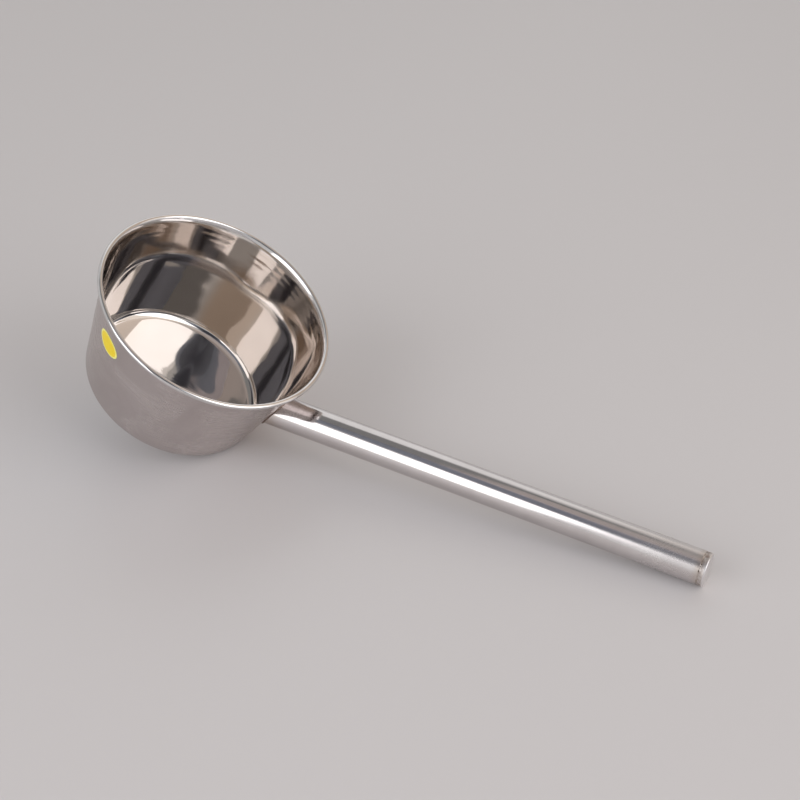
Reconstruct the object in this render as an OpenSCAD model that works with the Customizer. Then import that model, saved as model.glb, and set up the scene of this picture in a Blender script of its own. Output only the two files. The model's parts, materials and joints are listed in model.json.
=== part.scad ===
// Stainless steel ladle: a drawn bowl with a rolled rim and a welded, capped tube handle.
// It lies as it does on a table, tipped towards its handle: the base's edge and the handle's end touch z = 0,
// the handle points along +X, and the origin is under the middle of the whole ladle.
// Every piece is drawn in the bowl's own frame, with the bowl's axis on Z and its base at z = 0, and then laid down.

/* [Bowl] */
// Outside diameter over the rolled rim
mouth_d = 160; // [145:1:220]
// Height from the underside of the base to the top of the rim
bowl_h = 83.5; // [65:0.5:130]
// Outside diameter of the wall where its slope meets the base's plane
base_d = 121; // [95:1:130]
// Outside radius between the base and the wall
corner_r = 7; // [3:0.5:14]
// Thickness of the sheet
sheet_t = 0.6; // [0.4:0.1:1.2]

/* [Rolled rim] */
// Diameter of the rim's bead
rim_d = 4; // [3:0.1:7]
// How far the curl runs on below the level of the bead's middle, in degrees
rim_curl = 115; // [60:1:120]

/* [Handle] */
// Length of the handle's centre line, from the bowl's wall to the end of the cap
handle_l = 301; // [150:1:420]
// Height of the rim's top above the point where the centre line meets the wall
handle_drop = 40.8; // [30:0.1:46]
// Rise of the handle above the base's plane, in degrees
handle_rise = 23.2; // [10:0.1:35]
// Outside diameter of the tube
tube_d = 22; // [16:0.5:26]
// Wall of the tube
tube_t = 0.8; // [0.5:0.1:2]

/* [End cap] */
// Length of the cap along the handle
cap_l = 3.4; // [2.5:0.1:12]
// Thickness of the cap's sheet
cap_t = 0.8; // [0.5:0.1:1.2]
// Outside radius of the cap's edge
cap_edge_r = 1.6; // [1.3:0.1:2.4]

/* [Welds] */
// Leg of the fillet weld between the tube and the bowl
handle_weld_leg = 1.2; // [0.6:0.1:2.5]
// Width of the weld between the tube and the cap
cap_weld_w = 1; // [0.5:0.1:2]

/* [Label] */
// Length of the oval label, around the bowl
label_w = 22.5; // [12:0.5:32]
// Height of the oval label, along the wall
label_h = 14; // [8:0.5:20]
// Thickness of the label
label_t = 0.12; // [0.08:0.01:0.3]
// Thickness of the glue under the label
glue_t = 0.05; // [0.03:0.01:0.1]
// Height of the rim's top above the label's middle
label_drop = 23; // [16:0.5:30]
// Place of the label around the bowl, in degrees from the handle
label_turn = -120.5; // [-150:0.5:-60]

/* [Hidden] */
$fn = 128;

// Points around the label's oval
label_points = 72;
// Largest step of a wedge's outline, in degrees
wedge_step = 30;

// Wall of the bowl: it leaves the base's circle and runs tangent into the rim's bead
base_r = base_d / 2;
rim_r = rim_d / 2;
rim_x = mouth_d / 2 - rim_r;
rim_z = bowl_h - rim_r;
rim_reach = norm([rim_x - base_r, rim_z]);
wall_deg = atan2(rim_x - base_r, rim_z) - asin((rim_r - sheet_t) / rim_reach);
// Middle of the corner's arc, tangent to the base's plane and to the outside of the wall
corner_x = base_r + corner_r * tan(wall_deg) - corner_r / cos(wall_deg);
corner_z = corner_r;
// Straight stretch of the wall's outside, from the corner's arc to the bead
wall_out = [cos(wall_deg), -sin(wall_deg)];
wall_start = [corner_x, corner_z] + corner_r * wall_out;
wall_end = [rim_x, rim_z] - (rim_r - sheet_t) * wall_out;
wall_l = norm(wall_end - wall_start);

// Handle: its centre line starts on the outside of the wall
tube_r = tube_d / 2;
joint_z = bowl_h - handle_drop;
joint_x = wall_x(joint_z);
tube_l = handle_l - cap_l - cap_weld_w;

// Lying down: the table touches the corner's arc and the lower edge of the cap's arc
edge_reach = handle_l - cap_edge_r;
edge_drop = tube_r - cap_edge_r;
edge_x = joint_x + edge_reach * cos(handle_rise) + edge_drop * sin(handle_rise);
edge_z = joint_z + edge_reach * sin(handle_rise) - edge_drop * cos(handle_rise);
span = norm([edge_x - corner_x, edge_z - corner_z]);
tip_deg = acos((cap_edge_r - corner_r) / span) - atan2(edge_x - corner_x, edge_z - corner_z);
// Ends of the ladle along X once it lies down
back_x = min(laid_x(-corner_x, corner_z) - corner_r, laid_x(-rim_x, rim_z) - rim_r);
top_edge_x = joint_x + edge_reach * cos(handle_rise) - edge_drop * sin(handle_rise);
top_edge_z = joint_z + edge_reach * sin(handle_rise) + edge_drop * cos(handle_rise);
front_x = max(laid_x(edge_x, edge_z), laid_x(top_edge_x, top_edge_z)) + cap_edge_r;
lift = corner_r - laid_z(corner_x, corner_z);

steel = [0.76, 0.74, 0.72];
satin_steel = [0.68, 0.66, 0.64];
weld_steel = [0.55, 0.49, 0.43];
label_yellow = [0.95, 0.83, 0.20];

// Outside radius of the bowl's wall at a height
function wall_x(z) = base_r + z * tan(wall_deg);
// Place along X and Z of a point of the bowl's frame after the tip
function laid_x(x, z) = x * cos(tip_deg) + z * sin(tip_deg);
function laid_z(x, z) = z * cos(tip_deg) - x * sin(tip_deg);

// Lays a piece down from the bowl's frame
module laid() {
    translate([-(back_x + front_x) / 2, 0, lift])
        rotate([0, tip_deg, 0])
            children();
}

// Puts a piece on the handle's centre line, with Z running from the wall to the free end
module on_handle(along = 0) {
    translate([joint_x, 0, joint_z])
        rotate([0, 90 - handle_rise, 0])
            translate([0, 0, along])
                children();
}

// Flat wedge about the origin that is wider than a circle of radius r
module wedge(r, from, to) {
    steps = ceil((to - from) / wedge_step);
    polygon(concat([[0, 0]], [
        for (i = [0 : steps])
            let (turn = from + (to - from) * i / steps)
            2 * r * [cos(turn), sin(turn)]
    ]));
}

// Section of a bent sheet: outside radius r and thickness t, between two directions
module bend(r, t, from, to) {
    intersection() {
        difference() {
            circle(r);
            circle(r - t);
        }
        wedge(r, from, to);
    }
}

// Filled cone that follows the outside of the wall, grown outwards by a distance
module wall_cone(grow = 0) {
    out = grow / cos(wall_deg);
    cylinder(h = bowl_h, r1 = wall_x(0) + out, r2 = wall_x(bowl_h) + out);
}

// Layer on the outside of the wall, t thick, with a gap under it
module wall_layer(t, gap = 0) {
    difference() {
        wall_cone(gap + t);
        wall_cone(gap);
    }
}

// Tube on the handle's centre line between two distances
module ring(inner_r, outer_r, from, to) {
    on_handle(from)
        difference() {
            cylinder(h = to - from, r = outer_r);
            translate([0, 0, -outer_r])
                cylinder(h = to - from + 2 * outer_r, r = inner_r);
        }
}

module bowl() {
    color(steel)
        laid()
            rotate_extrude() {
                square([corner_x, sheet_t]);
                translate([corner_x, corner_z])
                    bend(corner_r, sheet_t, -90, -wall_deg);
                translate(wall_start)
                    rotate(-wall_deg)
                        translate([-sheet_t, 0])
                            square([sheet_t, wall_l]);
                translate([rim_x, rim_z])
                    bend(rim_r, sheet_t, -rim_curl, 180 - wall_deg);
            }
}

module handle_tube() {
    color(satin_steel)
        laid()
            difference() {
                ring(tube_r - tube_t, tube_r, -tube_d, tube_l);
                wall_cone();
            }
}

module handle_weld() {
    color(weld_steel)
        laid()
            intersection() {
                ring(tube_r, tube_r + handle_weld_leg, -tube_d, 2 * tube_d);
                wall_layer(handle_weld_leg);
            }
}

module end_cap() {
    color(satin_steel)
        laid()
            on_handle(handle_l - cap_l)
                rotate_extrude() {
                    translate([0, cap_l - cap_t])
                        square([tube_r - cap_edge_r, cap_t]);
                    translate([tube_r - cap_edge_r, cap_l - cap_edge_r])
                        bend(cap_edge_r, cap_t, 0, 90);
                    translate([tube_r - cap_t, 0])
                        square([cap_t, cap_l - cap_edge_r]);
                }
}

module cap_weld() {
    color(weld_steel)
        laid()
            ring(tube_r - tube_t, tube_r, tube_l, tube_l + cap_weld_w);
}

module label_sticker() {
    middle_z = bowl_h - label_drop;
    color(label_yellow)
        laid()
            intersection() {
                wall_layer(label_t, glue_t);
                rotate([0, 0, label_turn])
                    translate([wall_x(middle_z), 0, middle_z])
                        rotate([0, 90 + wall_deg, 0])
                            translate([0, 0, -label_w / 2])
                                linear_extrude(label_w)
                                    oval(label_h, label_w);
            }
}

// Oval with its two widths along X and Y
module oval(x, y) {
    polygon([
        for (i = [0 : label_points - 1])
            let (turn = 360 * i / label_points)
            [x * cos(turn), y * sin(turn)] / 2
    ]);
}

bowl();
handle_tube();
handle_weld();
end_cap();
cap_weld();
label_sticker();
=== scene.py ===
"""Stainless steel ladle: a polished bowl with a rolled rim and a welded tube handle, on a pale table."""
import functools
import json
import math

import bpy
import numpy as np
from mathutils import Matrix, Vector


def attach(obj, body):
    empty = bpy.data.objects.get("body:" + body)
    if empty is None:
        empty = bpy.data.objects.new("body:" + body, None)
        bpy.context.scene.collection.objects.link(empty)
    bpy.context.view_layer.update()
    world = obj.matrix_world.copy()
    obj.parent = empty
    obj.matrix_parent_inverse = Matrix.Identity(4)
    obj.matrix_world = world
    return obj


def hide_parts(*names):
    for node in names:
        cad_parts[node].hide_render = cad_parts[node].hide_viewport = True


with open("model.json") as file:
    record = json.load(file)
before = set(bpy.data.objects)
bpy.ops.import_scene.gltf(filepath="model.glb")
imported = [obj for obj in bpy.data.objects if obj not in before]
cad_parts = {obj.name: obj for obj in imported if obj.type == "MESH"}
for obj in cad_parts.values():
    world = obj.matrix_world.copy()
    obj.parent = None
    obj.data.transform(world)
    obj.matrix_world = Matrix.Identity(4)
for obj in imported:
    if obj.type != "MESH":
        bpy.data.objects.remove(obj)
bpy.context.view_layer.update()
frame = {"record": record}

BODY = "root"
MM = 0.001

# Bowl
MOUTH_D = 160 * MM
BOWL_H = 83.5 * MM
BASE_D = 121 * MM
CORNER_R = 7 * MM
SHEET_T = 0.6 * MM
RIM_D = 4 * MM
# The sheet flares into a small bead at the rim
BEAD_D = 3.4 * MM
BEAD_CURL = math.radians(130)
BEAD_LEAN = math.radians(20)
LIP_R = 15 * MM

# Handle, its cap and the two welds
HANDLE_L = 301 * MM
HANDLE_DROP = 40.8 * MM
HANDLE_RISE = math.radians(23.2)
TUBE_D = 22 * MM
TUBE_T = 0.8 * MM
CAP_L = 3.4 * MM
CAP_T = 0.8 * MM
CAP_EDGE_R = 0.7 * MM
CAP_INSET = 0.07 * MM
HANDLE_WELD_LEG = 1.2 * MM
CAP_WELD_W = 1 * MM

# Label
LABEL_W = 22.5 * MM
LABEL_H = 14 * MM
LABEL_T = 0.12 * MM
LABEL_BORDER = 0.9 * MM
BORDER_BLUR = 0.03
GLUE_T = 0.05 * MM
LABEL_DROP = 23 * MM
LABEL_TURN = math.radians(-120.5)
# Its edge, from below to above: share of the full oval, and share of the thickness
LABEL_EDGE = ((1.0, 0.4), (0.997, 0.7))
LABEL_FACE = 0.99

# Slow waves in the polished sheet, which bend what the bowl mirrors
WAVES = 14
WALL_WAVE = 0.028 * MM
FLOOR_WAVE = 0.04 * MM
WAVE_LENGTHS = (30 * MM, 70 * MM)
WAVE_FADE = (4 * MM, 16 * MM)
FLOOR_EASE = 14 * MM
# Shallow bumps of the floor in millimetres: place, radius and height
FLOOR_BUMPS = ((24.5, 1, 19, 0.7), (10, 24, 9.5, 0.55), (23.5, 9, 9, 0.9))
# Rings that rolling leaves under the rim
RING_SIZE = 0.008 * MM
RING_LENGTH = 4.6 * MM
RING_FADE = (6 * MM, 15 * MM)

# Marks of the welder and the grinder
WELD_FILL = 0.8
WELD_SINK = 0.15 * MM
WELD_BULGE = 0.18
SEAM_DEPTH = 0.28 * MM
CAP_DIPS = 0.14 * MM
CAP_DIPS_FADE = (0.3, 1)
GROUND_L = 110 * MM
HEAT_L = 14 * MM
TIP_HEAT_L = 5 * MM
# Unevenness around the two welds: sizes, counts around the turn, and how far and how often the counts drift
RIPPLE_SIZE = 0.10
RIPPLES = 38
RIPPLE_DRIFT = 1.5
RIPPLE_DRIFTS = 3
SWELL_SIZE = 0.08
SWELLS = 5
SWELL_START = 1
DIPS = 7
DIP_DRIFT = 2
DIP_DRIFTS = 2
DIP_SWELLS = 3
DIP_SWELL_START = 0.7

# Fineness of the meshes: steps around an axis, and rows along the stretches of a section
BOWL_STEPS = 400
TUBE_STEPS = 160
WELD_STEPS = 360
LABEL_STEPS = 120
CARD_STEPS = 64
FLOOR_ROWS = 40
CORNER_ROWS_OUT, CORNER_ROWS_IN = 16, 20
WALL_ROWS_OUT, WALL_ROWS_IN = 24, 120
LIP_ROWS_UNDER, LIP_ROWS_OVER = 12, 20
BEAD_ROWS_UNDER, BEAD_ROWS_OVER = 26, 40
TUBE_ROWS = 40
WELD_ROWS = 9
CAP_SIDE_ROWS = 10
CAP_EDGE_ROWS = 14
CAP_FACE_ROWS = 8
LABEL_ROWS = 12
# Edges that turn more than this stay hard
SHARP = math.radians(32)
# Mesh attribute that keeps each point's place in its piece's own frame
OWN_PLACE = "own_place"
rng = np.random.default_rng(7)

# Wall of the bowl, tangent to the base's corner and to the solid's rim
base_r = BASE_D / 2
rim_r = RIM_D / 2
rim = np.array([MOUTH_D / 2 - rim_r, BOWL_H - rim_r])
flare = rim[0] - base_r
wall_turn = math.atan2(flare, rim[1]) - math.asin((rim_r - SHEET_T) / math.hypot(flare, rim[1]))
wall_slope = math.tan(wall_turn)
wall_in = np.array([-math.cos(wall_turn), math.sin(wall_turn)])
wall_up = np.array([wall_in[1], -wall_in[0]])
corner = np.array([base_r + CORNER_R * wall_slope - CORNER_R / math.cos(wall_turn), CORNER_R])
# Bead, in the outer part of the solid's rim, and lip, tangent to the inside of the wall and to the bead
bead_r = BEAD_D / 2
bead = rim + (rim_r - bead_r) * np.array([math.cos(BEAD_LEAN), math.sin(BEAD_LEAN)])
lip_line = rim + (rim_r - LIP_R) * wall_in
lip_gap = lip_line - bead
lip_over = lip_gap @ wall_up
lip_slide = -lip_over - math.sqrt(lip_over ** 2 - lip_gap @ lip_gap + (LIP_R - bead_r) ** 2)
lip = lip_line + lip_slide * wall_up
lip_start = math.pi - wall_turn
lip_end = math.atan2(*(bead - lip)[::-1])
# Handle's centre line, from the outside of the wall
tube_r = TUBE_D / 2
tube_l = HANDLE_L - CAP_L - CAP_WELD_W
joint_z = BOWL_H - HANDLE_DROP
joint_x = base_r + joint_z * wall_slope

# Frames of the pieces: the bowl stands on its base's middle, the handle's Z runs to its free end,
# and the label's Z leaves the wall
base_mount = next(m for m in frame["record"]["mounts"] if m["name"] == "base")
bowl_up = -Vector(base_mount["axis"])
bowl_tip = math.atan2(bowl_up.x, bowl_up.z)
label_z = BOWL_H - LABEL_DROP
HANDLE_IN_BOWL = (Matrix.Translation((joint_x, 0, joint_z))
                  @ Matrix.Rotation(math.pi / 2 - HANDLE_RISE, 4, "Y"))
LABEL_IN_BOWL = (Matrix.Rotation(LABEL_TURN, 4, "Z")
                 @ Matrix.Translation((base_r + label_z * wall_slope, 0, label_z))
                 @ Matrix.Rotation(math.pi / 2 + wall_turn, 4, "Y"))
BOWL_FRAME = Matrix.Translation(base_mount["pos_m"]) @ Matrix.Rotation(bowl_tip, 4, "Y")
HANDLE_FRAME = BOWL_FRAME @ HANDLE_IN_BOWL
LABEL_FRAME = BOWL_FRAME @ LABEL_IN_BOWL


def turned(headings, place):
    """Headings carried from a piece's own frame into another."""
    return headings @ np.array(place.to_3x3()).T


def moved(points, place):
    """Points carried from a piece's own frame into another."""
    return turned(points, place) + np.array(place.translation)


def z_heading(place):
    """Heading of a frame's Z axis."""
    return turned(np.array([0, 0, 1]), place)


def full_turn(steps):
    """Angles around a full turn."""
    return np.linspace(0, 2 * np.pi, steps, endpoint=False)


def circle(steps):
    """Directions around a full turn."""
    turns = full_turn(steps)
    return np.stack([np.cos(turns), np.sin(turns), np.zeros(steps)], 1)


def arc(middle, r, start, end, steps):
    """Points of an arc in a section, as x and z."""
    turns = np.linspace(start, end, steps)
    return np.asarray(middle) + r * np.stack([np.cos(turns), np.sin(turns)], 1)


def line(start, end, steps):
    """Points of a straight stretch of a section, without its ends."""
    shares = np.linspace(0, 1, steps + 2)[1:-1, None]
    return np.asarray(start) * (1 - shares) + np.asarray(end) * shares


def ring(dirs, point):
    """A section's point, turned about the Z axis."""
    return dirs * point[0] + (0, 0, point[1])


def pole(z):
    """The single point of a ring that closes on the axis."""
    return np.array([[0.0, 0.0, z]])


def along_z(heights):
    """Points on the Z axis."""
    return np.stack([np.zeros_like(heights), np.zeros_like(heights), heights], 1)


def smooth_step(start, end, values):
    """0 before start and 1 after end, with a soft change between."""
    share = np.clip((values - start) / (end - start), 0, 1)
    return share * share * (3 - 2 * share)


def keep_places(mesh, points):
    """Keeps the points' own places in a mesh, for its materials."""
    mesh.attributes.new(OWN_PLACE, "FLOAT_VECTOR", "POINT").data.foreach_set("vector", points.ravel())


def linked(name, data):
    """A new object in the scene."""
    obj = bpy.data.objects.new(name, data)
    bpy.context.scene.collection.objects.link(obj)
    return obj


def piece(name, rows, place, materials, strips=None, closed=True):
    """A mesh skinned over rings of points.

    A ring of one point closes an end, and closed joins the last ring to the first. The rings turn about +Z,
    and their order keeps the faces pointing outwards. Strips give each strip of faces its material.
    """
    counts = [len(row) for row in rows]
    starts = np.concatenate([[0], np.cumsum(counts)])
    faces, slots = [], []
    pairs = [(i, i + 1) for i in range(len(rows) - 1)] + ([(len(rows) - 1, 0)] if closed else [])
    for strip, (a, b) in enumerate(pairs):
        steps = max(counts[a], counts[b])
        if steps == 1:
            continue
        here = np.arange(steps)
        there = (here + 1) % steps
        if counts[a] == 1:
            new = np.stack([np.full(steps, starts[a]), starts[b] + there, starts[b] + here], 1)
        elif counts[b] == 1:
            new = np.stack([starts[a] + here, starts[a] + there, np.full(steps, starts[b])], 1)
        else:
            new = np.stack([starts[a] + here, starts[a] + there, starts[b] + there, starts[b] + here], 1)
        faces += new.tolist()
        slots += [strips[strip] if strips else 0] * steps
    local = np.concatenate(rows)
    mesh = bpy.data.meshes.new(name)
    mesh.from_pydata(moved(local, place).tolist(), [], faces)
    keep_places(mesh, local)
    for material in materials:
        mesh.materials.append(material)
    mesh.polygons.foreach_set("material_index", slots)
    mesh.shade_smooth()
    mesh.set_sharp_from_angle(angle=SHARP)
    mesh.update()
    return linked(name, mesh)


def stand_for(obj, node):
    """Puts a finished piece in the place of a solid."""
    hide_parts(node)
    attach(obj, BODY)


def wall_hit(points, heading, grow=0.0):
    """How far each point is, along a heading, from the outside of the bowl's wall grown outwards."""
    reach = base_r + grow / math.cos(wall_turn) + points[:, 2] * wall_slope
    rate = heading[2] * wall_slope
    a = heading[0] ** 2 + heading[1] ** 2 - rate ** 2
    b = points[:, 0] * heading[0] + points[:, 1] * heading[1] - reach * rate
    c = points[:, 0] ** 2 + points[:, 1] ** 2 - reach ** 2
    return (-b + np.sqrt(b * b - a * c)) / a


class Nodes:
    """A node tree to add to."""

    def __init__(self, tree):
        self.tree = tree

    def add(self, kind, inputs=None, **settings):
        """A node with its settings, and its inputs as values or as sockets to link from."""
        node = self.tree.nodes.new(kind)
        for key, value in settings.items():
            setattr(node, key, value)
        for key, value in (inputs or {}).items():
            if isinstance(value, bpy.types.NodeSocket):
                self.tree.links.new(value, node.inputs[key])
            else:
                node.inputs[key].default_value = value
        return node

    def fade(self, value, start, end):
        """0 before start and 1 after end, with a soft change between."""
        return self.add("ShaderNodeMapRange", {"Value": value, "From Min": start, "From Max": end},
                        interpolation_type="SMOOTHSTEP").outputs[0]

    def blend(self, share, first, second, blend_type="MIX"):
        """A mixed colour; the node's inputs 0, 6 and 7 are the share and the two colours."""
        return self.add("ShaderNodeMix", {0: share, 6: first, 7: second}, data_type="RGBA",
                        blend_type=blend_type).outputs[2]


class Finish(Nodes):
    """A node material around one Principled shader."""

    def __init__(self, name, **sockets):
        self.material = bpy.data.materials.new(name)
        self.material.use_nodes = True
        super().__init__(self.material.node_tree)
        self.shader = self.tree.nodes["Principled BSDF"]
        for socket, value in sockets.items():
            self.shader.inputs[socket.replace("_", " ")].default_value = value

    @functools.cached_property
    def place(self):
        """Each point's place in its piece's own frame."""
        return self.add("ShaderNodeAttribute", attribute_name=OWN_PLACE).outputs["Vector"]

    @functools.cached_property
    def axes(self):
        """The piece's own x, y and z, and the distance from its Z axis."""
        x, y, z = self.add("ShaderNodeSeparateXYZ", {0: self.place}).outputs
        return x, y, z, self.length(x, y)

    def math(self, operation, *values):
        """The result of a math node."""
        return self.add("ShaderNodeMath", dict(enumerate(values)), operation=operation).outputs[0]

    def length(self, x, y):
        """Length of a flat heading."""
        return self.math("SQRT", self.math("ADD", self.math("MULTIPLY", x, x), self.math("MULTIPLY", y, y)))

    def noise(self, coords, scale=1.0, detail=2.0, rough=0.5, distortion=0.0):
        """A noise value, mostly between 0.3 and 0.7."""
        return self.add("ShaderNodeTexNoise", {"Vector": coords, "Scale": scale, "Detail": detail,
                                               "Roughness": rough, "Distortion": distortion}).outputs[0]

    def grain(self, lengths, turn=(0, 0, 0)):
        """Coordinates for grain of the given lengths along three turned axes."""
        return self.add("ShaderNodeMapping", {"Vector": self.place, "Rotation": turn, "Scale": lengths},
                        vector_type="TEXTURE").outputs[0]

    def around(self, slow, fast):
        """Coordinates for grain round the piece's axis, by its rates along and across."""
        x, y, z, r = self.axes
        across = self.math("MULTIPLY", self.math("ADD", r, z), fast)
        return self.add("ShaderNodeCombineXYZ", {0: self.math("MULTIPLY", x, slow),
                                                 1: self.math("MULTIPLY", y, slow), 2: across}).outputs[0]

    def spread(self, value, low, high, start=0.3, end=0.7):
        """A value stretched from a noise's range to another."""
        return self.add("ShaderNodeMapRange", {"Value": value, "From Min": start, "From Max": end,
                                               "To Min": low, "To Max": high}).outputs[0]

    def mottle(self, noise, first, second):
        """A colour that a noise moves between two colours."""
        return self.blend(self.spread(noise, 0.0, 1.0), first, second)

    def bump(self, height, strength, distance):
        """A normal from a height."""
        return self.add("ShaderNodeBump", {"Height": height, "Strength": strength,
                                           "Distance": distance}).outputs[0]

    def wire(self, **sockets):
        """Links values to the shader's sockets."""
        for socket, value in sockets.items():
            self.tree.links.new(value, self.shader.inputs[socket.replace("_", " ")])
        return self.material


def mirror_steel():
    """Inside of the bowl: nearly a mirror, with faint polishing rings and hazy smears."""
    f = Finish("mirror_steel", Metallic=1.0)
    rings = f.noise(f.around(slow=18, fast=1500), detail=3.0, rough=0.6)
    smears = f.noise(f.place, scale=45, detail=3.0, rough=0.55, distortion=0.6)
    haze = f.noise(f.place, scale=16)
    grit = f.noise(f.place, scale=240)
    tone = f.mottle(haze, (0.655, 0.616, 0.588, 1), (0.700, 0.660, 0.632, 1))
    rough = f.math("ADD", f.spread(smears, 0.03, 0.07), f.spread(rings, -0.008, 0.012))
    height = f.math("ADD", f.math("MULTIPLY", rings, 0.25), grit)
    return f.wire(Base_Color=tone, Roughness=rough, Normal=f.bump(height, 0.05, 0.1 * MM))


def rim_steel():
    """Rolled rim: buffed along its length, a little duller than the inside."""
    f = Finish("rim_steel", Metallic=1.0)
    rings = f.noise(f.around(slow=25, fast=1800), detail=3.0, rough=0.6)
    smears = f.noise(f.place, scale=90, detail=3.0, rough=0.55, distortion=0.5)
    tone = f.mottle(smears, (0.665, 0.645, 0.640, 1), (0.735, 0.715, 0.710, 1))
    rough = f.math("ADD", f.spread(smears, 0.05, 0.10), f.spread(rings, -0.01, 0.02))
    return f.wire(Base_Color=tone, Roughness=rough, Normal=f.bump(rings, 0.06, 0.1 * MM))


def satin_wall_steel():
    """Outside of the bowl: satin sheet with fine rings, faint drawing streaks and worn smears."""
    f = Finish("satin_wall_steel", Metallic=1.0)
    rings = f.noise(f.around(slow=14, fast=1300), detail=4.0, rough=0.65)
    streaks = f.noise(f.around(slow=420, fast=22), detail=3.0, rough=0.6)
    smears = f.noise(f.place, scale=28, detail=4.0, rough=0.55, distortion=0.8)
    tone = f.mottle(smears, (0.518, 0.462, 0.448, 1), (0.628, 0.567, 0.551, 1))
    tone = f.blend(f.spread(streaks, 0.0, 0.30), tone, (0.500, 0.448, 0.434, 1))
    rough = f.math("ADD", f.spread(smears, 0.20, 0.28), f.spread(rings, -0.03, 0.05))
    height = f.math("ADD", f.math("MULTIPLY", rings, 0.6), f.math("MULTIPLY", streaks, 0.4))
    return f.wire(Base_Color=tone, Roughness=rough, Normal=f.bump(height, 0.035, 0.2 * MM))


def tube_steel():
    """Tube: polished along its length, ground dull with slanting marks near the free end, tinted by heat."""
    f = Finish("tube_steel", Metallic=1.0)
    z = f.axes[2]
    lines = f.noise(f.grain((1.1 * MM, 1.1 * MM, 110 * MM)), detail=3.0, rough=0.6)
    smears = f.noise(f.place, scale=60, detail=3.0, rough=0.55, distortion=0.5)
    marks = f.noise(f.grain((5 * MM, 5 * MM, 0.4 * MM), (0.35, 0.45, 0)), detail=3.0, rough=0.6)
    ground = f.fade(z, tube_l - GROUND_L, tube_l)
    tip_heat = f.fade(z, tube_l - TIP_HEAT_L, tube_l)
    joint_heat = f.fade(z, HEAT_L, 0.0)
    heat = f.math("MULTIPLY", f.math("MAXIMUM", tip_heat, joint_heat), f.spread(smears, 0.1, 0.6))
    tone = f.mottle(smears, (0.618, 0.580, 0.572, 1), (0.668, 0.632, 0.624, 1))
    tone = f.blend(heat, tone, (0.500, 0.405, 0.330, 1))
    dull = f.math("MULTIPLY", ground, f.spread(marks, 0.15, 0.21))
    rough = f.math("ADD", f.spread(lines, 0.09, 0.15), dull)
    slants = f.math("MULTIPLY", marks, f.math("ADD", f.math("MULTIPLY", ground, 0.22), 0.05))
    height = f.math("ADD", f.math("MULTIPLY", lines, 0.5), slants)
    return f.wire(Base_Color=tone, Roughness=rough, Normal=f.bump(height, 0.10, 0.2 * MM))


def cap_steel():
    """Cap: a face ground to an even satin with straight marks, and a side blotched by the weld's heat."""
    f = Finish("cap_steel", Metallic=1.0)
    marks = f.noise(f.grain((9 * MM, 0.4 * MM, 9 * MM), (0, 0, 0.5)), detail=3.0, rough=0.6)
    smears = f.noise(f.place, scale=140, detail=3.0, rough=0.6)
    blotches = f.noise(f.place, scale=320, detail=4.0, rough=0.65)
    side = f.fade(f.axes[2], HANDLE_L - CAP_EDGE_R / 2, HANDLE_L - 2 * CAP_EDGE_R)
    tone = f.mottle(marks, (0.740, 0.722, 0.726, 1), (0.820, 0.802, 0.806, 1))
    heated = f.blend(f.fade(blotches, 0.35, 0.70), (0.700, 0.665, 0.640, 1), (0.330, 0.260, 0.230, 1))
    tone = f.blend(side, tone, heated)
    rough = f.math("ADD", f.spread(smears, 0.36, 0.46), f.spread(marks, -0.03, 0.03))
    return f.wire(Base_Color=tone, Roughness=rough, Normal=f.bump(marks, 0.12, 0.2 * MM))


def weld_steel(name, skin, dark_tone):
    """Weld metal: blotches between two colours, and dark pits; the colours are heat tint, and at the tube's
    joint partly painted shade.
    """
    f = Finish(name, Metallic=1.0)
    blotches = f.noise(f.place, scale=260, detail=3.0, rough=0.6)
    pits = f.noise(f.place, scale=700, detail=2.0, rough=0.6)
    tone = f.mottle(blotches, skin, dark_tone)
    tone = f.blend(f.fade(pits, 0.42, 0.34), tone, (0.060, 0.042, 0.035, 1))
    rough = f.spread(blotches, 0.25, 0.45)
    return f.wire(Base_Color=tone, Roughness=rough, Normal=f.bump(pits, 0.25, 0.3 * MM))


def label_film():
    """Plain glossy yellow film, slightly mottled, with a paler border."""
    f = Finish("label_film", Roughness=0.32, Specular_IOR_Level=0.25, Coat_Weight=0.08, Coat_Roughness=0.12)
    x, y = f.axes[:2]
    oval = f.length(f.math("DIVIDE", x, LABEL_H / 2), f.math("DIVIDE", y, LABEL_W / 2))
    inner = 1 - LABEL_BORDER / (LABEL_H / 2)
    specks = f.noise(f.place, scale=700, detail=3.0, rough=0.6)
    tone = f.mottle(specks, (0.900, 0.660, 0.006, 1), (0.960, 0.740, 0.012, 1))
    tone = f.blend(f.fade(oval, inner - BORDER_BLUR, inner + BORDER_BLUR), tone, (0.985, 0.920, 0.280, 1))
    return f.wire(Base_Color=tone, Normal=f.bump(f.noise(f.place, scale=160), 0.08, 0.2 * MM))


def sheet_waves():
    """A function that adds up the sheet's waves, each of size 1, at some points."""
    dirs = rng.normal(size=(WAVES, 3))
    dirs /= np.linalg.norm(dirs, axis=1, keepdims=True)
    rates = dirs * (2 * np.pi / rng.uniform(*WAVE_LENGTHS, WAVES))[:, None]
    starts = rng.uniform(0, 2 * np.pi, WAVES)
    return lambda points: np.sin(points @ rates.T + starts).sum(1)


def floor_share(r):
    """1 on the bowl's floor, easing to 0 at its corner."""
    return smooth_step(corner[0], corner[0] - FLOOR_EASE, r)


def floor_rise(points):
    """Height that the bumps add to the floor at some points; none from its corner outwards."""
    rise = np.zeros(len(points))
    for x, y, radius, height in np.array(FLOOR_BUMPS) * MM:
        rise += height * np.exp(-((points[:, 0] - x) ** 2 + (points[:, 1] - y) ** 2) / (2 * radius ** 2))
    return rise * floor_share(np.hypot(points[:, 0], points[:, 1]))


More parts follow.
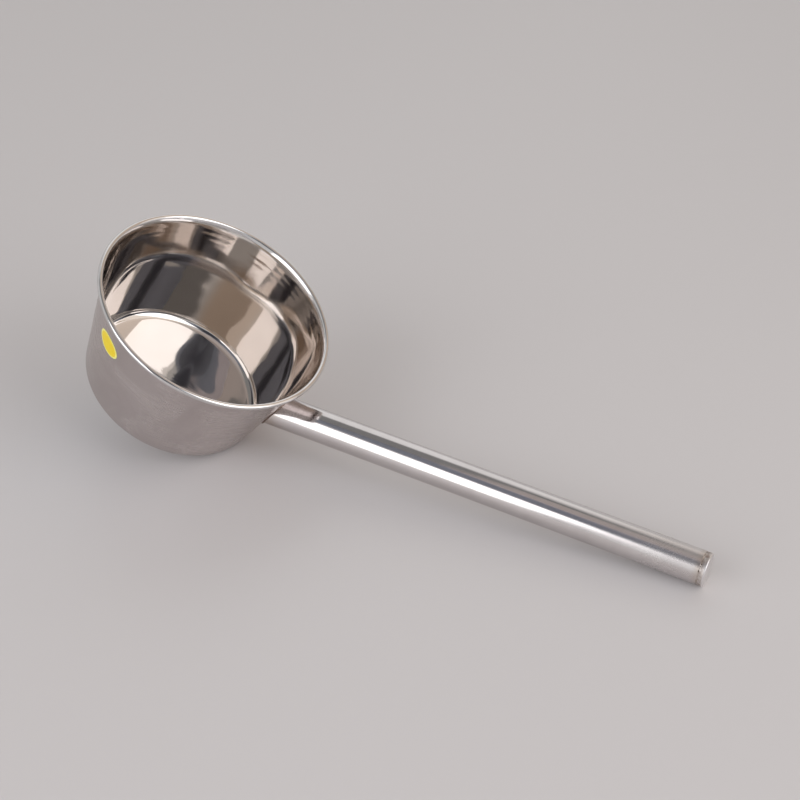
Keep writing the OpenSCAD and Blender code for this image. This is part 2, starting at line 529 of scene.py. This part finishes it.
def make_bowl():
    """Bowl with a flat base, a rounded corner, a tapered wall and a rolled rim, slightly wavy inside."""
    inner_r = CORNER_R - SHEET_T
    top_in = lip + LIP_R * wall_in
    outside = np.concatenate([
        line((0, 0), (corner[0], 0), FLOOR_ROWS),
        arc(corner, CORNER_R, -math.pi / 2, -wall_turn, CORNER_ROWS_OUT),
        line(corner - CORNER_R * wall_in, top_in - SHEET_T * wall_in, WALL_ROWS_OUT),
        arc(lip, LIP_R - SHEET_T, lip_start, lip_end, LIP_ROWS_UNDER)[:-1],
        arc(bead, bead_r - SHEET_T, lip_end, -BEAD_CURL, BEAD_ROWS_UNDER),
    ])
    rolled = np.concatenate([
        arc(bead, bead_r, -BEAD_CURL, lip_end, BEAD_ROWS_OVER)[:-1],
        arc(lip, LIP_R, lip_end, lip_start, LIP_ROWS_OVER),
    ])
    inside = np.concatenate([
        line(top_in, corner - inner_r * wall_in, WALL_ROWS_IN),
        arc(corner, inner_r, -wall_turn, -math.pi / 2, CORNER_ROWS_IN),
        line((corner[0], SHEET_T), (0, SHEET_T), FLOOR_ROWS),
    ])
    heading = np.gradient(inside, axis=0)
    inward = np.stack([heading[:, 1], -heading[:, 0]], 1) / np.linalg.norm(heading, axis=1, keepdims=True)
    depth = top_in[1] - inside[:, 1]
    flat = floor_share(inside[:, 0])
    sizes = smooth_step(*WAVE_FADE, depth) * (WALL_WAVE + (FLOOR_WAVE - WALL_WAVE) * flat)
    rolls = RING_SIZE * np.sin(2 * np.pi * depth / RING_LENGTH) * (1 - smooth_step(*RING_FADE, depth))

    wave = sheet_waves()
    dirs = circle(BOWL_STEPS)
    rows = [pole(0)] + [ring(dirs, point) for point in np.concatenate([outside, rolled])]
    for point, normal, size, roll in zip(inside, inward, sizes, rolls):
        true = ring(dirs, point)
        rows.append(true + ring(dirs, normal) * (roll + size * wave(true))[:, None])
    rows.append(pole(SHEET_T) + along_z(FLOOR_WAVE * wave(pole(SHEET_T))))
    rows = [row + along_z(floor_rise(row)) for row in rows]
    materials = [mirror_steel(), satin_wall_steel(), rim_steel()]
    mirror, satin, buffed = range(len(materials))
    strips = [satin] * (len(outside) + 1) + [buffed] * (len(rolled) - 1) + [mirror] * (len(inside) + 1)
    shell = piece("bowl_shell", rows, BOWL_FRAME, materials, strips, closed=False)
    stand_for(shell, "bowl")


def make_tube():
    """Tube of the handle, coped to the wall at its near end."""
    shares = np.linspace(0, 1, TUBE_ROWS)
    rows = []
    for r, order in ((tube_r, shares), (tube_r - TUBE_T, shares[::-1])):
        side = circle(TUBE_STEPS) * r
        start = wall_hit(moved(side, HANDLE_IN_BOWL), z_heading(HANDLE_IN_BOWL))
        rows += [side + along_z(start * (1 - share) + tube_l * share) for share in order]
    shell = piece("handle_tube_shell", rows, HANDLE_FRAME, [tube_steel()])
    stand_for(shell, "handle_tube")


def make_handle_weld():
    """Fillet weld round the coped end, with the small ripples of a hand-laid bead."""
    heading = z_heading(HANDLE_IN_BOWL)
    out = circle(WELD_STEPS)
    tube_out = turned(out, HANDLE_IN_BOWL)
    side = moved(out * tube_r, HANDLE_IN_BOWL)
    root = side + wall_hit(side, heading)[:, None] * heading
    around = np.hypot(root[:, 0], root[:, 1])
    wall_out = np.stack([-wall_in[0] * root[:, 0] / around, -wall_in[0] * root[:, 1] / around,
                         np.full(WELD_STEPS, -wall_in[1])], 1)
    along_wall = tube_out - (tube_out * wall_out).sum(1)[:, None] * wall_out
    along_wall /= np.linalg.norm(along_wall, axis=1)[:, None]
    turns = full_turn(WELD_STEPS)
    ripple = RIPPLE_SIZE * np.sin(RIPPLES * turns + RIPPLE_DRIFT * np.sin(RIPPLE_DRIFTS * turns))
    swell = SWELL_SIZE * np.sin(SWELLS * turns + SWELL_START)
    leg = (HANDLE_WELD_LEG * WELD_FILL * (1 + ripple + swell))[:, None]
    rows = [root - WELD_SINK * (wall_out + tube_out)]
    for share in np.linspace(1, 0, WELD_ROWS):
        bulge = WELD_BULGE * math.sin(math.pi * share)
        rows.append(root + leg * ((1 - share + bulge) * wall_out + (share + bulge) * along_wall)
                    - WELD_SINK * (share * wall_out + (1 - share) * tube_out))
    # The joint weld's dark browns are partly real heat tint and partly painted shade, darkening the groove
    # where the tube meets the wall.
    metal = weld_steel("joint_weld_heat_tint_and_painted_shade", skin=(0.300, 0.225, 0.180, 1), dark_tone=(0.150, 0.105, 0.085, 1))
    bead_piece = piece("handle_weld_bead", rows, BOWL_FRAME, [metal])
    stand_for(bead_piece, "handle_weld")


def seam_dips(steps):
    """How deep the grinder went around the seam at the handle's end, from 0 to 1."""
    turns = full_turn(steps)
    dips = np.sin(DIPS * turns + DIP_DRIFT * np.sin(DIP_DRIFTS * turns))
    return 0.5 + 0.5 * dips * np.sin(DIP_SWELLS * turns + DIP_SWELL_START)


def make_cap():
    """Shallow cap with a slightly rounded edge, ground unevenly beside the weld."""
    cap_r = tube_r - CAP_INSET
    hollow_r = cap_r - CAP_T
    top = HANDLE_L - CAP_INSET
    bottom = HANDLE_L - CAP_L
    edge = np.array([cap_r - CAP_EDGE_R, top - CAP_EDGE_R])
    face = np.concatenate([
        arc(edge, CAP_EDGE_R, 0, math.pi / 2, CAP_EDGE_ROWS),
        line(edge + (0, CAP_EDGE_R), (0, top), CAP_FACE_ROWS),
    ])
    hollow = np.concatenate([
        line((0, top - CAP_T), (hollow_r, top - CAP_T), CAP_FACE_ROWS),
        [(hollow_r, top - CAP_T), (hollow_r, bottom)],
    ])
    dirs = circle(TUBE_STEPS)
    dips = seam_dips(TUBE_STEPS)
    rows = []
    for share in np.linspace(0, 1, CAP_SIDE_ROWS, endpoint=False):
        side_r = cap_r - CAP_DIPS * dips * (1 - smooth_step(*CAP_DIPS_FADE, share))
        rows.append(dirs * side_r[:, None] + (0, 0, bottom + (edge[1] - bottom) * share))
    rows += [ring(dirs, point) for point in face]
    rows += [pole(top), pole(top - CAP_T)]
    rows += [ring(dirs, point) for point in hollow]
    shell = piece("end_cap_shell", rows, HANDLE_FRAME, [cap_steel()])
    stand_for(shell, "end_cap")


def make_cap_weld():
    """Weld between the tube and the cap, ground nearly flush, with low spots left by the grinder."""
    dirs = circle(TUBE_STEPS)
    dips = seam_dips(TUBE_STEPS)
    rows = []
    for share in np.linspace(0, 1, WELD_ROWS):
        depth = CAP_DIPS * dips * share + SEAM_DEPTH * math.sin(math.pi * share) * dips
        rows.append(dirs * (tube_r - depth)[:, None] + (0, 0, tube_l + CAP_WELD_W * share))
    for share in (1, 0):
        rows.append(dirs * (tube_r - TUBE_T) + (0, 0, tube_l + CAP_WELD_W * share))
    metal = weld_steel("cap_weld_steel", skin=(0.600, 0.565, 0.540, 1), dark_tone=(0.330, 0.255, 0.205, 1))
    seam = piece("cap_weld_ring", rows, HANDLE_FRAME, [metal])
    stand_for(seam, "cap_weld")


def make_label():
    """Oval label that follows the curve of the wall, with a softened upper edge."""
    heading = z_heading(LABEL_IN_BOWL)
    oval = circle(LABEL_STEPS) * (LABEL_H / 2, LABEL_W / 2, 0)
    levels = [(share, 0) for share in np.linspace(0, 1, LABEL_ROWS)]
    levels += LABEL_EDGE
    levels += [(share, 1) for share in np.linspace(LABEL_FACE, 0, LABEL_ROWS)]
    rows = []
    for share, height in levels:
        flat = oval * share if share else pole(0)
        start = wall_hit(moved(flat, LABEL_IN_BOWL), heading, GLUE_T + height * LABEL_T)
        rows.append(flat + along_z(start))
    film = piece("label_oval", rows, LABEL_FRAME, [label_film()], closed=False)
    stand_for(film, "label_sticker")


make_bowl()
make_tube()
make_handle_weld()
make_cap()
make_cap_weld()
make_label()

# Stage
AIM = Vector((-0.126, 0.0, 0.10))
TABLE_SIDE = 12.0
TABLE_COLOR = (0.65, 0.625, 0.625, 1)
TABLE_ROUGHNESS = 0.4
# Grey of the studio by the height of the heading: walls, and a darker ceiling over them
SKY = ((0.83, 0.63), (0.885, 0.25))
# Warm wall behind the ladle, to the right
WARM_HEADING = (0.557, 0.663, 0.500)
WARM_EDGES = (0.68, 0.92)
WARM_TINT = (0.94, 0.79, 0.66, 1)
# Colours of the lamps and of the dark cards
NEUTRAL = (1.0, 1.0, 1.0)
COOL_RIGHT = (0.960, 0.968, 1.0)
COOL_LEFT = (0.965, 0.970, 1.0)
WARM_WING = (1.0, 0.965, 0.93)
WARM_TOP = (1.0, 0.80, 0.72)
CARD_GREY = (0.325, 0.365, 0.440, 1)
CARD_SOFT = (0.178, 0.196, 0.235, 1)
CARD_BLACK = (0.065, 0.072, 0.095, 1)
CARD_ROUGHNESS = 0.9
CARD_FADE = (0.35, 1.0)
# Light that runs round inside the bowl needs many mirror bounces
MIRROR_BOUNCES = 12


def staged(name, points, faces, material):
    """A flat backdrop that isn't part of the ladle."""
    mesh = bpy.data.meshes.new(name)
    mesh.from_pydata([tuple(point) for point in points], [], faces)
    mesh.materials.append(material)
    obj = linked(name, mesh)
    return obj


def facing(azimuth, elevation, distance, roll):
    """A frame that looks at the bowl: azimuth runs from +X to +Y, and elevation up from the table."""
    azimuth, elevation = math.radians(azimuth), math.radians(elevation)
    heading = Vector((math.cos(azimuth) * math.cos(elevation), math.sin(azimuth) * math.cos(elevation),
                      math.sin(elevation)))
    turn = heading.to_track_quat("Z", "Y").to_matrix().to_4x4() @ Matrix.Rotation(math.radians(roll), 4, "Z")
    return Matrix.Translation(AIM + distance * heading) @ turn


def softbox(name, place, size, radiance, color=NEUTRAL, roll=0.0):
    """A large soft lamp that faces the bowl, from an azimuth, an elevation and a distance."""
    width, height = size
    lamp = bpy.data.lights.new(name, "AREA")
    lamp.shape = "RECTANGLE"
    lamp.size = width
    lamp.size_y = height
    lamp.energy = radiance * math.pi * width * height
    lamp.color = color
    obj = linked(name, lamp)
    obj.matrix_world = facing(*place, roll)
    obj.visible_camera = False


def dark_card(name, place, size, color, edge_color, roll=0.0):
    """An oval card that faces the bowl, for dark shapes in the polish, with another colour at its edge."""
    width, height = size
    disc = np.concatenate([pole(0), circle(CARD_STEPS)])
    faces = [(0, step + 1, (step + 1) % CARD_STEPS + 1) for step in range(CARD_STEPS)]
    f = Finish(name, Roughness=CARD_ROUGHNESS)
    material = f.wire(Base_Color=f.blend(f.fade(f.axes[3], *CARD_FADE), color, edge_color))
    points = moved(disc * (width / 2, height / 2, 0), facing(*place, roll))
    card = staged(name, points, faces, material)
    keep_places(card.data, disc)
    card.visible_camera = False


half = TABLE_SIDE / 2
staged("table", [(-half, -half, 0), (half, -half, 0), (half, half, 0), (-half, half, 0)], [(0, 1, 2, 3)],
       Finish("table", Base_Color=TABLE_COLOR, Roughness=TABLE_ROUGHNESS).material)
softbox("right_softbox", (-10.5, 23, 1.7), (1.3, 1.75), 1.16, COOL_RIGHT)
softbox("right_wing", (-1, 24, 1.8), (2.25, 2.1), 0.48, WARM_WING)
softbox("left_softbox", (-116.5, 23.5, 1.7), (1.5, 1.5), 1.68, COOL_LEFT, roll=-6)
softbox("back_softbox", (109, 36, 1.8), (1.4, 1.1), 0.33, roll=35)
softbox("top_softbox", (-8, 76, 1.55), (1.0, 1.0), 0.24, WARM_TOP)
dark_card("grey_card", (-67, 56, 1.6), (0.95, 2.5), CARD_GREY, CARD_GREY, roll=44)
dark_card("black_card_high", (-55.5, 49, 1.45), (0.70, 0.72), CARD_BLACK, CARD_SOFT)
dark_card("black_card_low", (-68, 40, 1.45), (0.68, 0.44), CARD_BLACK, CARD_SOFT)
dark_card("black_card_top", (-34, 57.5, 1.45), (0.42, 0.18), CARD_BLACK, CARD_SOFT)

world = bpy.data.worlds.new("studio")
world.use_nodes = True
studio = Nodes(world.node_tree)
heading = studio.add("ShaderNodeTexCoord").outputs["Generated"]
up = studio.add("ShaderNodeSeparateXYZ", {0: heading}).outputs["Z"]
sky = studio.add("ShaderNodeValToRGB", {0: up})
for stop, (height, grey) in zip(sky.color_ramp.elements, SKY):
    stop.position = height
    stop.color = (grey, grey, grey, 1)
towards = studio.add("ShaderNodeVectorMath", {0: heading, 1: WARM_HEADING}, operation="DOT_PRODUCT")
warmth = studio.fade(towards.outputs["Value"], *WARM_EDGES)
tinted = studio.blend(warmth, sky.outputs[0], WARM_TINT, "MULTIPLY")
studio.tree.links.new(tinted, studio.tree.nodes["Background"].inputs["Color"])
bpy.context.scene.world = world
bpy.context.scene.cycles.glossy_bounces = MIRROR_BOUNCES
bpy.context.scene.view_settings.view_transform = "Standard"

# Camera at the photograph's angle
CAMERA_PLACE = (0.42367, -0.92664, 0.82266)
CAMERA_RIGHT = Vector((0.904099, 0.426721, 0.022690))
CAMERA_FORWARD = Vector((-0.330810, 0.732527, -0.594953))
CAMERA_LENS = 90
CAMERA_SENSOR = 36
camera_data = bpy.data.cameras.new("camera")
camera_data.lens = CAMERA_LENS
camera_data.sensor_width = CAMERA_SENSOR
camera = linked("camera", camera_data)
camera_up = CAMERA_RIGHT.cross(CAMERA_FORWARD)
camera.matrix_world = (Matrix.Translation(CAMERA_PLACE)
                       @ Matrix((CAMERA_RIGHT, camera_up, -CAMERA_FORWARD)).transposed().to_4x4())
bpy.context.scene.camera = camera
